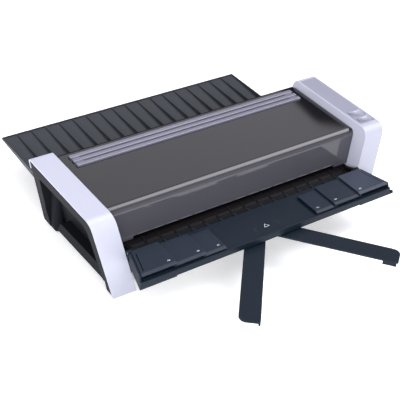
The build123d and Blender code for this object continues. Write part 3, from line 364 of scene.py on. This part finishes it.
def deck_marks():
    """Feed arrow on the deck, plus arm pivot slots and mould witness rings drawn as dark lines of painted
    shade.
    """
    front_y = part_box("left_inner_guide")[0].y
    arrow = [(-ARROW_HALF, front_y + ARROW_BASE), (ARROW_HALF, front_y + ARROW_BASE),
             (0.0, front_y + ARROW_TIP)]
    verts, faces = strip(arrow, ARROW_LINE, DECK + SMALL, closed=True)
    piece("feed_arrow", verts, faces, INK, "input_tray")
    for side, sign in (("left", -1), ("right", 1)):
        slot = arc(sign * PIVOT_X, front_y + PIVOT_Y, PIVOT_RADIUS, -60 * sign, 180 - 60 * sign)
        ring = arc(sign * WITNESS_X, front_y + WITNESS_Y, WITNESS_RADIUS, 0, 360)
        # Dark lines: painted shade in the pivot slots and the witness ring grooves.
        for name, points, width in (("pivot_slot", slot, PIVOT_LINE), ("deck_witness", ring, WITNESS_LINE)):
            verts, faces = strip(points, width, DECK + SMALL)
            piece(f"{side}_{name}", verts, faces, DARK, "input_tray")


def power_symbol(x, y, z):
    """Open ring with a short stroke in its gap."""
    ring = strip(arc(x, y, RING_RADIUS, 120, 420, 20), KEY_LINE, z)
    stroke = strip([(x, y + STROKE_FROM), (x, y + STROKE_TO)], KEY_LINE, z)
    return joined([ring, stroke])


def mode_symbol(x, y, z):
    """Three short dashes."""
    middles = [x + k * DASH_PITCH for k in (-1, 0, 1)]
    return joined([strip([(m - DASH_HALF, y), (m + DASH_HALF, y)], DASH_WIDTH, z) for m in middles])


def key_mark(key, name, symbol):
    """A key's grey symbol."""
    low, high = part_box(key)
    x, y = (low.x + high.x) / 2, (low.y + high.y) / 2 - KEY_MARK_BACK
    verts, faces = symbol(x, y, high.z - KEY_RIDGE + 2 * SMALL)
    piece(name, verts, faces, GREY_INK, key)


def key_ridge_highlight(key, name):
    """Painted highlight: a white line where light catches the top of a key's rear ridge, following its dish.
    """
    low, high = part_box(key)
    x, y = (low.x + high.x) / 2, (low.y + high.y) / 2 - DISH_BACK
    aside = (high.x - low.x) / 2 - RIDGE_IN
    verts = []
    for i in range(RIDGE_STEPS + 1):
        over = aside * (2 * i / RIDGE_STEPS - 1)
        for line_y in (high.y - RIDGE_FROM, high.y - RIDGE_TO):
            dip = DISH_RISE - math.sqrt(DISH_RADIUS ** 2 - over ** 2 - (line_y - y) ** 2)
            verts.append((x + over, line_y, high.z + min(dip, 0.0) + 2 * SMALL))
    faces = [(2 * i, 2 * i + 2, 2 * i + 3, 2 * i + 1) for i in range(RIDGE_STEPS)]
    piece(name, verts, faces, WHITE, key)


size_marks()
deck_marks()
key_mark("power_button", "power_key_mark", power_symbol)
key_mark("mode_button", "mode_key_mark", mode_symbol)
# Painted highlights on the keys' rear ridges.
key_ridge_highlight("power_button", "power_key_highlight")
key_ridge_highlight("mode_button", "mode_key_highlight")


# ---- floor, light and camera ----
def floor():
    """Pale floor with a little light of its own."""
    mesh = bpy.data.meshes.new("floor")
    mesh.from_pydata([(-8, -8, 0), (8, -8, 0), (8, 8, 0), (-8, 8, 0)], [], [(0, 1, 2, 3)])
    obj = bpy.data.objects.new("floor", mesh)
    scene.collection.objects.link(obj)
    mat = bpy.data.materials.new("floor")
    mat.use_nodes = True
    shader = mat.node_tree.nodes["Principled BSDF"]
    shader.inputs["Base Color"].default_value = (0.96, 0.96, 0.96, 1)
    shader.inputs["Roughness"].default_value = 0.9
    shader.inputs["Specular IOR Level"].default_value = 0.1
    shader.inputs["Emission Color"].default_value = (1, 1, 1, 1)
    shader.inputs["Emission Strength"].default_value = 0.30
    mesh.materials.append(mat)


def toward(azimuth, elevation):
    """Unit vector towards a place in the studio; azimuth is from +Y towards +X."""
    a, e = math.radians(azimuth), math.radians(elevation)
    return (math.sin(a) * math.cos(e), math.cos(a) * math.cos(e), math.sin(e))


def softbox(name, azimuth, elevation, distance, size, watts):
    """An area light aimed at the object from this azimuth and elevation."""
    away = Vector(toward(azimuth, elevation))
    data = bpy.data.lights.new(name, "AREA")
    data.shape = "RECTANGLE"
    data.size, data.size_y = size
    data.energy = watts
    data.color = (0.98, 0.99, 1.0)
    obj = bpy.data.objects.new(name, data)
    obj.location = Vector((0, 0, 0.06)) + away * distance
    obj.rotation_mode = "QUATERNION"
    obj.rotation_quaternion = away.to_track_quat("Z", "Y")
    scene.collection.objects.link(obj)


def studio():
    """Pale surroundings with two soft glows and one dark corner that the cover mirrors."""
    world = bpy.data.worlds.new("studio")
    scene.world = world
    world.use_nodes = True
    tree = world.node_tree
    back = tree.nodes["Background"]
    way = tree.nodes.new("ShaderNodeTexCoord").outputs["Generated"]

    def along(vector, lower, upper, low=0.0, high=1.0):
        """Smooth step of the direction's dot product with vector."""
        dot = tree.nodes.new("ShaderNodeVectorMath")
        dot.operation = "DOT_PRODUCT"
        link(tree, way, dot.inputs[0])
        dot.inputs[1].default_value = vector
        step = tree.nodes.new("ShaderNodeMapRange")
        step.interpolation_type = "SMOOTHSTEP"
        for name, value in (("From Min", lower), ("From Max", upper), ("To Min", low), ("To Max", high)):
            step.inputs[name].default_value = value
        link(tree, dot.outputs["Value"], step.inputs["Value"])
        return step.outputs["Result"]

    def combine(operation, first, second):
        node = tree.nodes.new("ShaderNodeMath")
        node.operation = operation
        for socket, value in zip(node.inputs, (first, second)):
            if isinstance(value, float):
                socket.default_value = value
            else:
                link(tree, value, socket)
        return node.outputs[0]

    level = along((0, 0, 1), *SKY)
    for azimuth, elevation, inner, outer, strength in GLOWS:
        glow = along(toward(azimuth, elevation), math.cos(math.radians(outer)), math.cos(math.radians(inner)),
                     0.0, strength)
        level = combine("ADD", level, glow)
    # The dark corner lies right of one edge and below another.
    foot = -CORNER_TILT * CORNER_Z
    right = along((*CORNER_WAY, -CORNER_TILT), foot - 0.006, foot + 0.006)
    below = along((0, 0, 1), CORNER_TOP_Z - 0.004, CORNER_TOP_Z + 0.006, 1.0, 0.0)
    behind = along((0, 1, 0), 0.0, 0.2)
    dark = combine("MULTIPLY", combine("MULTIPLY", right, below), behind)
    level = combine("MULTIPLY", level, combine("SUBTRACT", 1.0, dark))
    link(tree, level, back.inputs["Strength"])
    back.inputs["Color"].default_value = SKY_COLOUR


def camera():
    """Camera at the photograph's viewing angle."""
    data = bpy.data.cameras.new("camera")
    data.lens = LENS
    data.sensor_width = 36
    data.clip_start, data.clip_end = 0.05, 30
    obj = bpy.data.objects.new("camera", data)
    scene.collection.objects.link(obj)
    a, e, roll = (math.radians(v) for v in (AZIMUTH, ELEVATION, ROLL))
    ahead = Vector((math.sin(a) * math.cos(e), math.cos(a) * math.cos(e), -math.sin(e)))
    turn = ahead.to_track_quat("-Z", "Y").to_matrix() @ Matrix.Rotation(roll, 3, "Z")
    obj.rotation_mode = "QUATERNION"
    obj.rotation_quaternion = turn.to_quaternion()
    obj.location = CAMERA_AT
    scene.camera = obj


scene.view_settings.view_transform = "Standard"
floor()
studio()
softbox("front_left", 212, 24, 1.8, (1.4, 1.0), 22)
softbox("left", 268, 14, 1.8, (0.9, 0.7), 12)
camera()
